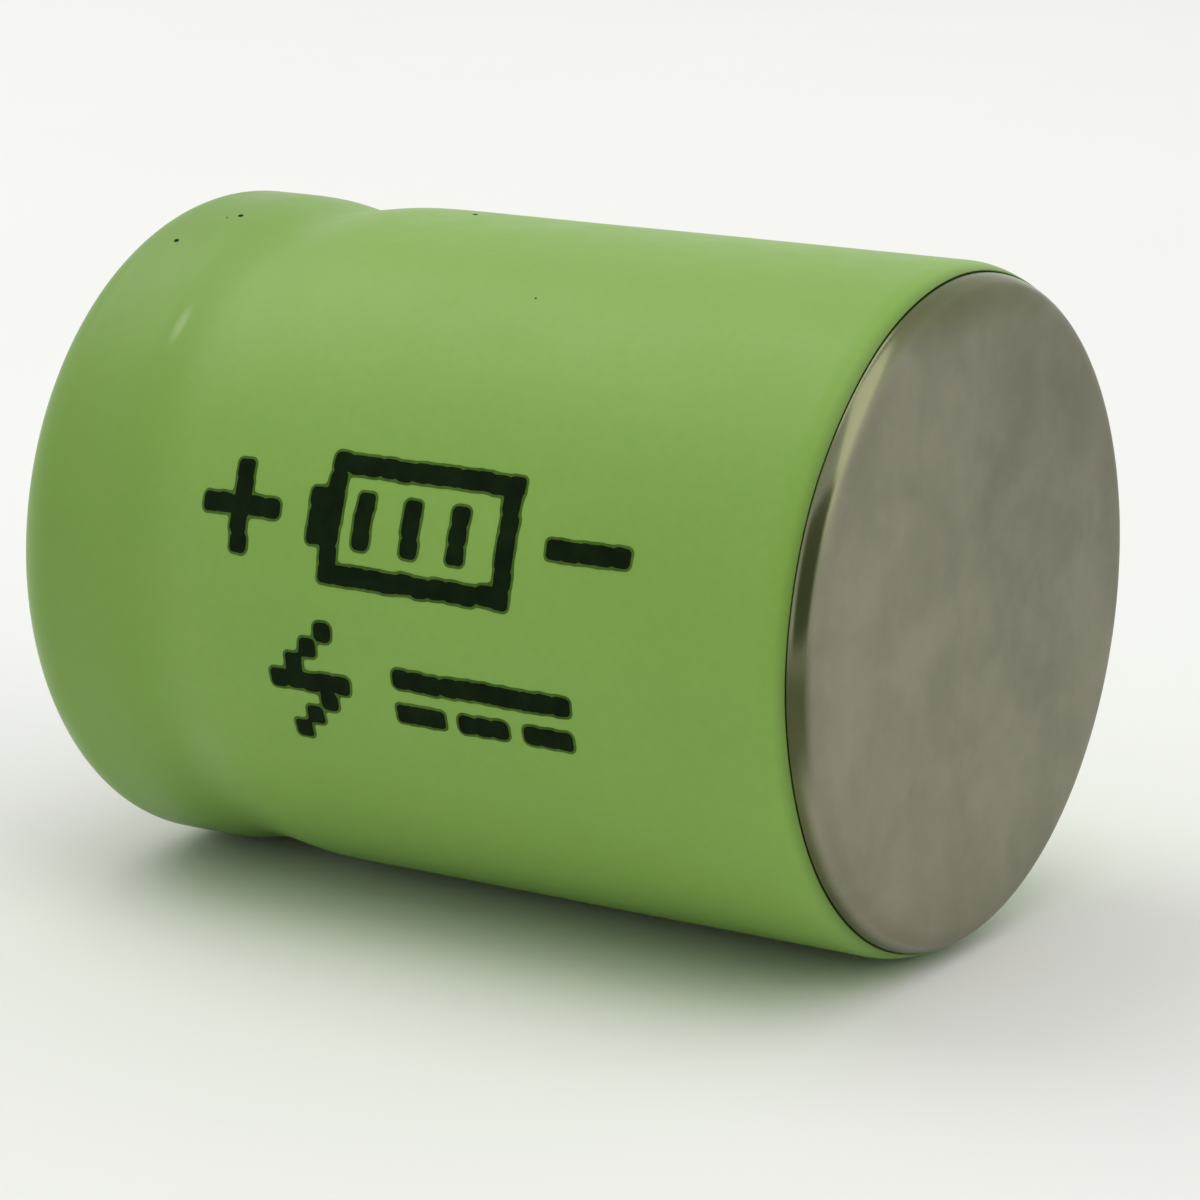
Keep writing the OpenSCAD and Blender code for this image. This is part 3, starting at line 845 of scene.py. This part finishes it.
def inside_materials():
    for node, material in (
        ("positive_tab", STRIP), ("tab_tape", TAPE),
        ("upper_insulator", INSULATOR), ("lower_insulator", INSULATOR),
        ("positive_electrode", POSITIVE_MASS), ("negative_electrode", NEGATIVE_MASS),
        ("inner_separator", FLEECE), ("outer_separator", FLEECE),
    ):
        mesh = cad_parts[node].data
        mesh.materials.clear()
        mesh.materials.append(material)


# ---- Floor, lights and camera -----------------------------------------------------------------

def card(name, half_w, half_h, material):
    """A flat rectangle round the origin."""
    corners = [(-half_w, -half_h, 0), (half_w, -half_h, 0), (half_w, half_h, 0), (-half_w, half_h, 0)]
    mesh = bpy.data.meshes.new(name)
    mesh.from_pydata(corners, [], [(0, 1, 2, 3)])
    mesh.materials.append(material)
    piece = bpy.data.objects.new(name, mesh)
    bpy.context.scene.collection.objects.link(piece)
    return piece


def floor():
    n = Nodes("floor")
    grain = n.noise(30, detail=2)
    grey = n.ramp(grain, [(0.3, (0.86, 0.86, 0.86)), (0.7, (0.88, 0.88, 0.88))])
    n.set(Base_Color=grey, Roughness=0.75, Specular_IOR_Level=0.2)
    card("floor", 4.0, 4.0, n.material)


def area_light(name, place_mm, size_mm, watts, colour=(1, 1, 1)):
    lamp = bpy.data.lights.new(name, "AREA")
    lamp.shape = "RECTANGLE"
    lamp.size, lamp.size_y = size_mm[0] * MM, size_mm[1] * MM
    lamp.energy = watts
    lamp.color = colour
    light = bpy.data.objects.new(name, lamp)
    bpy.context.scene.collection.objects.link(light)
    light.location = Vector(place_mm) * MM
    aim = Vector((0, 0, AXIS_Z)) * MM - light.location
    light.rotation_mode = "QUATERNION"
    light.rotation_quaternion = aim.to_track_quat("-Z", "Y")


HORIZON_LIGHT, ZENITH_LIGHT, LEFT_LIGHT = 1.04, 0.80, 0.69


def lights():
    """A pale studio, brightest at the horizon and to the right, and two lamps."""
    world = bpy.data.worlds.new("studio")
    world.use_nodes = True
    bpy.context.scene.world = world
    tree = world.node_tree
    sky = tree.nodes["Background"]
    where = tree.nodes.new("ShaderNodeTexCoord")
    parts = tree.nodes.new("ShaderNodeSeparateXYZ")
    shade = tree.nodes.new("ShaderNodeMapRange")
    shade.inputs["To Min"].default_value = HORIZON_LIGHT
    shade.inputs["To Max"].default_value = ZENITH_LIGHT
    side = tree.nodes.new("ShaderNodeMapRange")
    side.inputs["From Min"].default_value = -1.0
    side.inputs["From Max"].default_value = 0.3
    side.inputs["To Min"].default_value = LEFT_LIGHT
    strength = tree.nodes.new("ShaderNodeMath")
    strength.operation = "MULTIPLY"
    tree.links.new(where.outputs["Generated"], parts.inputs["Vector"])
    tree.links.new(parts.outputs["Z"], shade.inputs["Value"])
    tree.links.new(parts.outputs["X"], side.inputs["Value"])
    tree.links.new(shade.outputs["Result"], strength.inputs[0])
    tree.links.new(side.outputs["Result"], strength.inputs[1])
    tree.links.new(strength.outputs["Value"], sky.inputs["Strength"])
    sky.inputs["Color"].default_value = (0.98, 1.0, 0.985, 1)
    area_light("overhead", (110, -35, 200), (130, 340), 0.131, (1.0, 0.96, 0.84))
    area_light("upper_left", (-150, 0, 225), (200, 200), 0.19, (1.0, 0.98, 0.94))


def flag():
    """A dark olive card behind the camera, as a studio uses: only reflections and fill light see it."""
    n = Nodes("flag")
    olive = n.ramp(n.noise(40), [(0.3, (0.15, 0.18, 0.10)), (0.7, (0.17, 0.20, 0.12))])
    n.set(Base_Color=olive, Roughness=0.9)
    piece = card("flag", 0.085, 0.065, n.material)
    away = Vector((0.39, -0.84, 0.37))
    piece.location = away * 0.150
    piece.rotation_mode = "QUATERNION"
    piece.rotation_quaternion = away.to_track_quat("Z", "Y")
    piece.visible_camera = False


def camera():
    """Stands where the photograph's camera stood."""
    azimuth, elevation, distance = math.radians(32.4), math.radians(13.3), 68.7
    back = Vector((
        math.sin(azimuth) * math.cos(elevation),
        -math.cos(azimuth) * math.cos(elevation),
        math.sin(elevation),
    ))
    lens = bpy.data.cameras.new("camera")
    lens.sensor_width, lens.lens = 36, 133.2
    lens.shift_x, lens.shift_y = 0.0251, -0.0353
    lens.clip_start, lens.clip_end = 0.001, 20
    eye = bpy.data.objects.new("camera", lens)
    bpy.context.scene.collection.objects.link(eye)
    eye.location = (Vector((0.5, 0, AXIS_Z)) + back * distance) * MM
    eye.rotation_mode = "QUATERNION"
    eye.rotation_quaternion = (-back).to_track_quat("-Z", "Y")
    bpy.context.scene.camera = eye
    bpy.context.scene.view_settings.view_transform = "Standard"


camera()
sleeve_film()
ink_mark()
can_shell()
washer()
gasket()
plate()
cap()
plug()
inside_materials()
floor()
lights()
flag()
